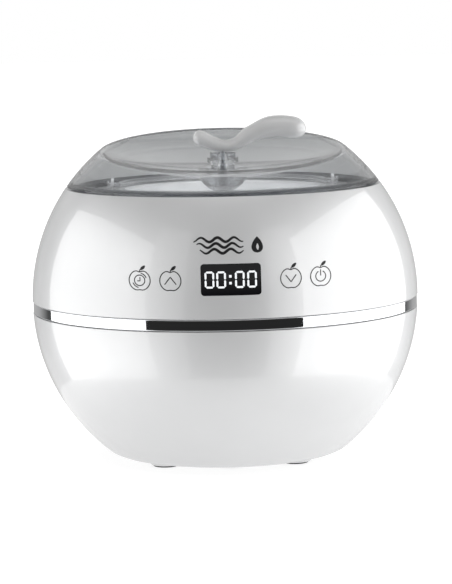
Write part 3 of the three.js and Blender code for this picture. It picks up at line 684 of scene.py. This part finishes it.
def lip_rings(radius, steps):
    angles = np.linspace(ball_angle, bowl_angle, steps + 1)
    return [lid_ring(lip_r + radius * math.cos(t), lip_z + radius * math.sin(t), 1) for t in angles]


def bowl_rings(radius, r_from, r_to, steps):
    return [lid_ring(r, bowl_centre - math.sqrt(radius ** 2 - r ** 2), 1)
            for r in np.linspace(r_from, r_to, steps + 1)]


inner_ball = BALL - LID_WALL
bowl_edge_out = lip_r + LIP_ROUND * math.cos(bowl_angle)
bowl_edge_in = lip_r + (LIP_ROUND - LID_WALL) * math.cos(bowl_angle)
skirt = [lid_ring(r, z - BALL_Z, 0) for r, z in rounded([
    (SKIRT_IN, 151.0, 0), (SKIRT_IN, DECK_Z + 0.3, 0.4), (SKIRT_OUT, DECK_Z + 0.3, 0.4),
    (SKIRT_OUT, LID_RIM_Z, 0),
])]
shell_rings = [
    *leaning_rings(BALL, LID_RIM_Z + 0.35 - BALL_Z, BALL * math.sin(ball_angle), 40)[:-1],
    *lip_rings(LIP_ROUND, 16),
    *bowl_rings(bowl_radius, bowl_edge_out, LID_HOLE, 26)[1:],
    *bowl_rings(bowl_radius + LID_WALL, LID_HOLE, bowl_edge_in, 26)[:-1],
    *lip_rings(LIP_ROUND - LID_WALL, 10)[::-1],
    *leaning_rings(inner_ball, math.sqrt(inner_ball ** 2 - SKIRT_IN ** 2),
                   inner_ball * math.sin(ball_angle), 32)[:-1][::-1],
    *skirt,
    lid_ring(ball_radius(LID_RIM_Z) - 0.35, LID_RIM_Z - BALL_Z, 0),
]
shell = Form()
shell.skin(shell_rings, True)
lid = dress(shell.make("lid_dome", angle=30), clear, "lid", ["lid_shell"])
lid.visible_shadow = False

# the pieces on the dish's own axis, from the middle of its upper face
dish_floor = LIP_HEIGHT - DISH_DEPTH
dish = Matrix.Translation((0, -dish_floor * math.sin(LID_TILT), BALL_Z + dish_floor * math.cos(LID_TILT)))
dish = dish @ Matrix.Rotation(LID_TILT, 4, "X")

socket = turned("socket_collar", rounded([
    (2, -3.1, 0), (5.7, -3.1, 0.2), (5.7, 0.5, 0.2), (6.6, 0.5, 0.2), (6.6, 3, 0.3), (8.7, 3, 0.5),
    (8.7, 5.6, 0.5), (7.1, 5.6, 0.3), (7.1, 8.5, 0.6), (2, 8.5, 0),
]), 72, dish, weighted=False)
groove = prism_form(3.4, 9, 0.5, -12, -3.2)
prism_form(3.4, 9, 0.5, 3.2, 12, form=groove)
boolean(socket, [groove.make("tool", dish @ Matrix.Translation((0, 0, 7.2)))])
dress(socket, clear_fitting, "lid", ["handle_socket"])

clip = turned("clip_crown", rounded([
    (2.2, -3.6, 0), (4.6, -3.6, 0.2), (4.6, -11, 0.6), (6, -11, 0.6), (9.4, -8.4, 1.5), (11.6, -5.6, 1.5),
    (12.6, -3.3, 0.2), (14.2, -3.3, 0.3), (13.2, -6.3, 1.5), (10.8, -9.6, 2), (7.2, -12.6, 1.2),
    (2.2, -12.6, 0),
]), 96, dish, weighted=False)
windows = Form()
for k in range(6):
    spin = Matrix.Rotation((k + 0.5) * math.pi / 3 + math.pi / 2, 4, "Z")
    start = len(windows.points)
    prism_form(5.6, 4.2, 1.2, 7.4, 16, form=windows)
    windows.move(start, spin @ Matrix.Translation((0, 0, -7)))
boolean(clip, [windows.make("tool", dish)])
dress(clip, clip_clear_painted_shade, "lid", ["retaining_clip"])

bolt = turned("handle_bolt", rounded([
    (0, -14.2, 0), (1.1, -14.2, 0), (1.3, -14.8, 0.1), (3.6, -14.8, 0.6), (3.6, -12.9, 0.2),
    (1.7, -12.9, 0), (1.7, 12.2, 0.3), (0, 12.2, 0),
]), 40, dish)
dress(bolt, steel, "lid", ["handle_screw"])

# The handle's spine, left to right: x, z, half thickness, half width
SPINE = [
    (-16.4, 17.0, 0, 0), (-12.4, 16.5, 4.3, 6.4), (-4.6, 13.1, 3.9, 6.2), (1.6, 12.0, 3.1, 5.8),
    (7.4, 12.9, 3.5, 6.0), (15.6, 18.2, 4.6, 7.0), (27.5, 22.1, 6.0, 8.2), (38.5, 21.4, 6.2, 8.0),
    (46.2, 18.9, 0, 0),
]
SPINE_LAST = len(SPINE) - 1
LEAF_FULLNESS = 0.985  # keeps the finer leaf inside the frame's faceted one


def spine_at(place):
    """A centripetal curve through the spine's points: the point and its direction."""
    i = min(int(place), SPINE_LAST - 1)
    w = place - i
    at = [Vector(SPINE[min(max(k, 0), SPINE_LAST)][:2]) for k in range(i - 1, i + 3)]
    if i == 0:
        at[0] = at[1] * 2 - at[2]
    if i == SPINE_LAST - 1:
        at[3] = at[2] * 2 - at[1]
    d = [math.sqrt((at[k + 1] - at[k]).length) for k in range(3)]
    t1 = (at[1] - at[0]) / d[0] - (at[2] - at[0]) / (d[0] + d[1]) + (at[2] - at[1]) / d[1]
    t2 = (at[2] - at[1]) / d[1] - (at[3] - at[1]) / (d[1] + d[2]) + (at[3] - at[2]) / d[2]
    t1, t2 = t1 * d[1], t2 * d[1]
    a, b = at[1], at[2]
    c2, c3 = -3 * a + 3 * b - 2 * t1 - t2, 2 * a - 2 * b + t1 + t2
    return a + t1 * w + c2 * w ** 2 + c3 * w ** 3, (t1 + 2 * c2 * w + 3 * c3 * w ** 2).normalized()


def spine_size(place):
    """Half the leaf's thickness and half its width, rounded off at both ends."""
    i = min(int(place), SPINE_LAST - 1)
    w = place - i
    w = w * w * (3 - 2 * w)
    first, second = SPINE[max(i, 1)], SPINE[min(i + 1, SPINE_LAST - 1)]
    end = math.sqrt(max(1 - max(0, 1 - place, place - SPINE_LAST + 1) ** 2, 0))
    return [(first[k] + (second[k] - first[k]) * w) * end * LEAF_FULLNESS for k in (2, 3)]


handle_rings = []
ends = 1 - np.cos(np.linspace(0.12, math.pi / 2, 9))
places = [*ends, *np.linspace(1.1, SPINE_LAST - 1.1, 66), *(SPINE_LAST - ends[::-1])]
for place in places:
    middle, along = spine_at(place)
    half, width = spine_size(place)
    ring = []
    for t in np.linspace(0, 2 * math.pi, 36, endpoint=False):
        lift = half * math.sin(t)
        ring.append((middle.x - along.y * lift, width * math.cos(t), middle.y + along.x * lift))
    handle_rings.append(ring)
leaf = Form()
leaf.skin(handle_rings, False)
handle = leaf.make("handle_leaf", dish, angle=60)
hole = turned_form([(0, 0), (2, 0), (2, 12.6), (0, 12.6)], 32).make("tool", dish)
boolean(handle, [hole], angle=60)
dress(handle, handle_white, "lid", ["lid_handle"])

# ------------------------------------------------------------------ the display and the printed keys

WINDOW_INSET = 0.12


def on_ball(x, z, offset):
    return (x, -math.sqrt((BALL + offset) ** 2 - x * x - (z - BALL_Z) ** 2), z)


window = prism_form(31.3, 16.1, 1.6, -115, -100.8).make("front_window", WINDOW_PLACE)
face = turned_form([(0, 80), *ball_arc(80, 140, WINDOW_INSET, 60), (0, 140)], 400).make("tool")
boolean(window, [face], "INTERSECT")
ball_normals(window, BALL - WINDOW_INSET)
dress(window, black_gloss, "base", ["display_window"])


class Print(Form):
    """Thin bands that follow the ball's surface, standing a hair proud of it."""

    def __init__(self, proud, depth=0.1):
        super().__init__()
        self.levels = (proud, proud - depth)

    def band(self, path, widths, closed=False):
        """A band along (x, z) points, as wide at each point as widths says."""
        path = np.array(path, float)
        count = len(path)
        widths = np.full(count, widths) if np.isscalar(widths) else np.array(widths, float)
        if closed:
            along = np.roll(path, -1, 0) - np.roll(path, 1, 0)
        else:
            along = np.gradient(path, axis=0)
        along /= np.linalg.norm(along, axis=1)[:, None]
        side = np.stack([-along[:, 1], along[:, 0]], 1) * np.maximum(widths, 0.01)[:, None] / 2
        rings = []
        for left, right in zip(path + side, path - side):
            rings.append([
                on_ball(*left, self.levels[0]), on_ball(*right, self.levels[0]),
                on_ball(*right, self.levels[1]), on_ball(*left, self.levels[1]),
            ])
        self.skin(rings, closed)

    def line(self, points, width, closed=False, step=0.5):
        """A band of one width with soft ends through straight runs of points."""
        points = [np.array(p, float) for p in points]
        if closed:
            points.append(points[0])
        path = []
        for a, b in zip(points, points[1:]):
            parts = max(int(np.linalg.norm(b - a) / step), 1)
            path += [a + (b - a) * k / parts for k in range(parts)]
        if not closed:
            path.append(points[-1])
        self.band(path, width, closed)

    def arc(self, x, z, radius, from_angle, to_angle, width):
        closed = abs(to_angle - from_angle) >= 360
        angles = np.linspace(from_angle, to_angle, 49 if closed else 25)[:48 if closed else None] * RAD
        self.band([(x + radius * math.cos(t), z + radius * math.sin(t)) for t in angles], width, closed)

    def spindle(self, start, end, width, power=0.6, skew=0.0):
        """A pointed or drop-like blade between two points."""
        start, end = np.array(start, float), np.array(end, float)
        t = np.linspace(0, 1, 15)
        shape = np.sin(math.pi * t ** (1 + skew)) ** power
        self.band([start + (end - start) * k for k in t], width * shape)


SEGMENT = 0.98
DIGIT_W, DIGIT_H = 5.0, 8.7
DIGIT_XS = (-11.2, -5.1, 4.6, 11.0)
COLON_RISE = 1.75


def segment(form, start, end):
    """One bar of a digit, with mitred ends."""
    start, end = np.array(start, float), np.array(end, float)
    length = np.linalg.norm(end - start)
    along = (end - start) / length
    gap, miter = 0.12, SEGMENT / 2
    stops = [gap, gap + miter, *np.linspace(gap + miter, length - gap - miter, 8)[1:-1],
             length - gap - miter, length - gap]
    widths = [0.02, *([SEGMENT] * (len(stops) - 2)), 0.02]
    form.band([start + along * s for s in stops], widths)


glow, dark = Print(-WINDOW_INSET + 0.03), Print(-WINDOW_INSET + 0.02)
half_w, half_h = (DIGIT_W - SEGMENT) / 2, (DIGIT_H - SEGMENT) / 2
for x in DIGIT_XS:
    z = PANEL_Z
    corners = [
        (x - half_w, z + half_h), (x + half_w, z + half_h), (x + half_w, z),
        (x + half_w, z - half_h), (x - half_w, z - half_h), (x - half_w, z),
    ]
    for k in range(6):
        segment(glow, corners[k], corners[(k + 1) % 6])
    segment(dark, corners[5], corners[2])
for z in (PANEL_Z + COLON_RISE, PANEL_Z - COLON_RISE):
    glow.line([(-0.95, z), (0.35, z)], 1.3, step=0.3)
dress(glow.make("display_digits"), lit, "base")
dress(dark.make("display_unlit_bars"), unlit, "base")

INK_LINE = 0.52
INK_PROUD = 0.03
KEY_X_OUTER, KEY_X_INNER = 47.5, 31.5
KEY_Z = PANEL_Z - 0.4
keys = Print(INK_PROUD)


def key_outline(x):
    """A plain dimpled fruit outline with a short stem and a leaf on it."""
    z = KEY_Z
    path = []
    for t in np.linspace(0, 360, 73)[:-1]:
        top = math.exp(-((t - 90) / 17) ** 2)
        foot = math.exp(-((t - 270) / 15) ** 2)
        r = 5.25 - 0.95 * top - 0.45 * foot + 0.25 * abs(math.cos(t * RAD))
        path.append((x + r * math.cos(t * RAD), z + r * math.sin(t * RAD)))
    keys.band(path, INK_LINE, True)
    keys.line([(x, z + 4.2), (x + 0.25, z + 5.6)], INK_LINE, step=0.3)
    keys.spindle((x + 0.3, z + 5.3), (x + 3.0, z + 7.6), 1.6)


for x in (-KEY_X_OUTER, -KEY_X_INNER, KEY_X_INNER, KEY_X_OUTER):
    key_outline(x)
# up and down
keys.line([(-KEY_X_INNER - 3, KEY_Z - 1.9), (-KEY_X_INNER, KEY_Z + 1.9), (-KEY_X_INNER + 3, KEY_Z - 1.9)],
          INK_LINE)
keys.line([(KEY_X_INNER - 2.8, KEY_Z + 1.7), (KEY_X_INNER, KEY_Z - 1.9), (KEY_X_INNER + 2.8, KEY_Z + 1.7)],
          INK_LINE)
# power
keys.arc(KEY_X_OUTER, KEY_Z, 2.7, 115, 425, INK_LINE)
keys.line([(KEY_X_OUTER, KEY_Z + 0.2), (KEY_X_OUTER, KEY_Z + 3.4)], INK_LINE)
# timer
keys.arc(-KEY_X_OUTER, KEY_Z, 2.7, 0, 360, INK_LINE)
hands_x = -KEY_X_OUTER + 0.2
keys.line([(hands_x, KEY_Z + 1.7), (hands_x, KEY_Z - 0.3), (hands_x - 1.4, KEY_Z - 0.3)], INK_LINE)
for turn in (20, 200):
    keys.arc(-KEY_X_OUTER, KEY_Z, 3.7, turn, turn + 60, INK_LINE)
dress(keys.make("key_prints"), ink, "base")

# a plain emblem: three running waves of wax and one drop
WAVE_TOP_Z, WAVE_SPACING, WAVE_LENGTH, WAVE_RISE, WAVE_WIDTH = 129.6, 2.9, 8.6, 1.1, 1.45
DROP_X, DROP_LOW_Z, DROP_HEIGHT, DROP_WIDTH = 14.2, 122.6, 8.2, 5.6 * 1.35
emblem = Print(INK_PROUD)
for k in range(3):
    xs = np.linspace(-19.0 + 1.6 * k, 7.0, 60)
    zs = WAVE_TOP_Z - WAVE_SPACING * k + WAVE_RISE * np.sin((xs + 0.9 * k) * 2 * math.pi / WAVE_LENGTH)
    widths = WAVE_WIDTH * np.sin(np.linspace(0.12, math.pi - 0.12, 60)) ** 0.5
    emblem.band(list(zip(xs, zs)), widths)
t = np.linspace(0, 1, 30)
drop = DROP_WIDTH * np.sqrt(np.clip(1 - (2 * t - 1) ** 2, 0, 1)) * (1 - t) ** 0.42
emblem.band([(DROP_X, DROP_LOW_Z + DROP_HEIGHT * k) for k in t], drop)
dress(emblem.make("emblem_print"), ink, "base")

# ------------------------------------------------------------------ the mains inlet

inlet = prism_form(27.4, 13.4, 2.6, 76, 93.6, 0.5).make("inlet_block", INLET_PLACE)
flange = prism_form(34, 19, 2.5, 84, 87).make("tool_flange", INLET_PLACE)
boolean(inlet, [flange], "UNION")
along_y = INLET_PLACE @ Matrix.Rotation(-math.pi / 2, 4, "X")
cuts = []
for side in (-1, 1):
    place = Matrix.Translation((side * PIN_X, 0, 0)) @ along_y
    hollow = turned_form([(0, 75), (1.4, 75), (1.4, 81), (4.3, 81), (4.3, 93.0), (4.7, 94), (0, 94)], 40)
    cuts.append(hollow.make("tool_hollow", place))
cuts.append(prism_form(8.6, 7.0, 0.3, 81, 94).make("tool_waist", INLET_PLACE))
boolean(inlet, cuts)
dress(inlet, black_plastic, "base", ["mains_inlet", "inlet_shroud"])
for side, label in ((-1, "left"), (1, "right")):
    place = Matrix.Translation((side * PIN_X, 0, 0)) @ along_y
    pin = turned(f"prong_{label}", rounded([
        (0, 72.4, 0), (1.2, 72.4, 0.2), (1.2, 91.6, 0.9), (0, 91.6, 0),
    ]), 32, place)
    dress(pin, brass, "base", [f"inlet_pin_{label}"])

# ------------------------------------------------------------------ floor, light and camera

floor_white = material(
    "floor_paper", grey(0.25), 0.9, tint=0.004, grain=0.02, scale=3, bump=0.01, bump_scale=60,
    Emission_Color=(1, 1, 1, 1), Emission_Strength=0.8,
)


def disc(name, radius, z):
    form = Form()
    turns = np.linspace(0, 2 * math.pi, 96, endpoint=False)
    form.ring([(radius * math.cos(t), radius * math.sin(t), z) for t in turns])
    form.faces.append(tuple(range(96)))
    obj = form.make(name)
    obj.data.materials.append(floor_white)
    return obj


floor = disc("floor", 9000, 0)
plinth = disc("plinth_top", 165, -0.05)
plinth.data.materials[0] = material(
    "plinth_paper", grey(0.16), 0.9, tint=0.004, grain=0.02, scale=3, bump=0.01, bump_scale=60,
    Emission_Color=(1, 1, 1, 1), Emission_Strength=0.6,
)
floor.visible_glossy = False
floor.visible_diffuse = False
floor.visible_transmission = False
floor.visible_shadow = False
plinth.visible_camera = False
plinth.visible_shadow = False

MIDDLE = Vector((0, 0, BALL_Z)) * MM


def receivers(name, *objects):
    """A collection of what a linked light shines on."""
    collection = bpy.data.collections.new(name)
    scene.collection.children.link(collection)
    for obj in objects:
        collection.objects.link(obj)
    return collection


def softbox(name, facing, left, right, low, high, radiance):
    """A flat light 1 m from the ball, facing it from an azimuth; its sides are distances from its foot."""
    width, height = right - left, high - low
    light = bpy.data.lights.new(name, "AREA")
    light.shape = "RECTANGLE"
    light.size, light.size_y = width, height
    light.energy = radiance * math.pi * width * height
    obj = bpy.data.objects.new(name, light)
    scene.collection.objects.link(obj)
    a = facing * RAD
    out = Vector((math.sin(a), -math.cos(a), 0))
    right_hand = Vector((math.cos(a), math.sin(a), 0))
    obj.location = MIDDLE + out + right_hand * (left + right) / 2 + Vector((0, 0, (low + high) / 2))
    obj.rotation_euler = out.to_track_quat("Z", "Y").to_euler()
    obj.visible_camera = False
    obj.visible_transmission = False
    return obj


# two large softboxes beside the ball, whose edges make the casing's highlights
softbox("softbox_right", 75, -0.64, 1.43, -0.95, 0.80, 1.75)
softbox("softbox_left", -75, -1.20, 0.53, -0.95, 0.70, 1.55)

# two weak panels either side of the dark strip down the front, for the shells and not for the band
casing_only = receivers("casing_only", upper, lower)
for name, facing, radiance in (("front_panel_right", 35, 0.75), ("front_panel_left", -36, 0.6)):
    panel = softbox(name, facing, -0.21, 0.21, -0.8, 0.9, radiance)
    panel.light_linking.receiver_collection = casing_only

# a panel that reaches the pot through the lid
pot_light = softbox("pot_light", 0, -0.5, 0.5, 0.35, 1.1, 10)
pot_light.light_linking.receiver_collection = receivers("pot_only", pot)

sky = bpy.data.lights.new("floor_light", "SUN")
sky.energy = 4.3
sky.angle = 70 * RAD
sky_obj = bpy.data.objects.new("floor_light", sky)
scene.collection.objects.link(sky_obj)
sky_obj.light_linking.receiver_collection = receivers("floor_only", floor, plinth)

world = bpy.data.worlds.new("studio")
scene.world = world
world.use_nodes = True
tree = world.node_tree
nodes, links = tree.nodes, tree.links
nodes.clear()
direction = nodes.new("ShaderNodeTexCoord").outputs["Generated"]
split = nodes.new("ShaderNodeSeparateXYZ")
links.new(direction, split.inputs[0])


def room_light(axis, stops):
    """Brightness along an axis of the direction, from (place from -1 to 1, level) stops."""
    place = nodes.new("ShaderNodeMapRange")
    place.inputs["From Min"].default_value = -1
    links.new(split.outputs[axis], place.inputs["Value"])
    ramp = nodes.new("ShaderNodeValToRGB")
    elements = ramp.color_ramp.elements
    while len(elements) < len(stops):
        elements.new(0.5)
    for element, (position, level) in zip(elements, stops):
        element.position = (position + 1) / 2
        element.color = (level, level, level, 1)
    links.new(place.outputs["Result"], ramp.inputs["Fac"])
    return ramp.outputs["Color"]


path = nodes.new("ShaderNodeLightPath")
both = nodes.new("ShaderNodeMath")
front_to_back = room_light("Y", [(-1, 0.02), (0, 0.03), (0.68, 0.08), (0.86, 0.4), (1, 0.46)])
low_to_high = room_light("Z", [(-0.32, 0.26), (-0.17, 0), (0.12, 0), (0.3, 0.2), (0.86, 0.14), (0.97, 1.1)])
links.new(front_to_back, both.inputs[0])
links.new(low_to_high, both.inputs[1])
room = nodes.new("ShaderNodeBackground")
# what shows through the clear lid is at least an even grey studio, whichever side it is seen from
grey_studio = nodes.new("ShaderNodeMath")
grey_studio.operation = "MULTIPLY"
grey_studio.inputs[1].default_value = 0.38
links.new(path.outputs["Is Transmission Ray"], grey_studio.inputs[0])
brighter = nodes.new("ShaderNodeMath")
brighter.operation = "MAXIMUM"
links.new(both.outputs[0], brighter.inputs[0])
links.new(grey_studio.outputs[0], brighter.inputs[1])
links.new(brighter.outputs[0], room.inputs["Color"])
paper = nodes.new("ShaderNodeBackground")
paper.inputs["Color"].default_value = (1, 1, 1, 1)
mix = nodes.new("ShaderNodeMixShader")
output = nodes.new("ShaderNodeOutputWorld")
links.new(path.outputs["Is Camera Ray"], mix.inputs["Fac"])
links.new(room.outputs[0], mix.inputs[1])
links.new(paper.outputs[0], mix.inputs[2])
links.new(mix.outputs[0], output.inputs["Surface"])

DISTANCE, HEIGHT, PITCH, AZIMUTH, ROLL = 1400, 254.85, 6.7, -1.75, -1.2
AIM_ASIDE = 0.022
FOCAL_LENGTH = 154.5
lens = bpy.data.cameras.new("camera")
lens.lens = FOCAL_LENGTH
lens.clip_end = 60
camera = bpy.data.objects.new("camera", lens)
scene.collection.objects.link(camera)
azimuth = AZIMUTH * RAD
camera.location = Vector((DISTANCE * math.sin(azimuth), -DISTANCE * math.cos(azimuth), HEIGHT)) * MM
aim = Matrix.Rotation((AZIMUTH - AIM_ASIDE) * RAD, 3, "Z") @ Matrix.Rotation((90 - PITCH) * RAD, 3, "X")
camera.rotation_euler = (aim @ Matrix.Rotation(ROLL * RAD, 3, "Z")).to_euler()
scene.camera = camera
scene.view_settings.view_transform = "Standard"

bpy.context.view_layer.update()
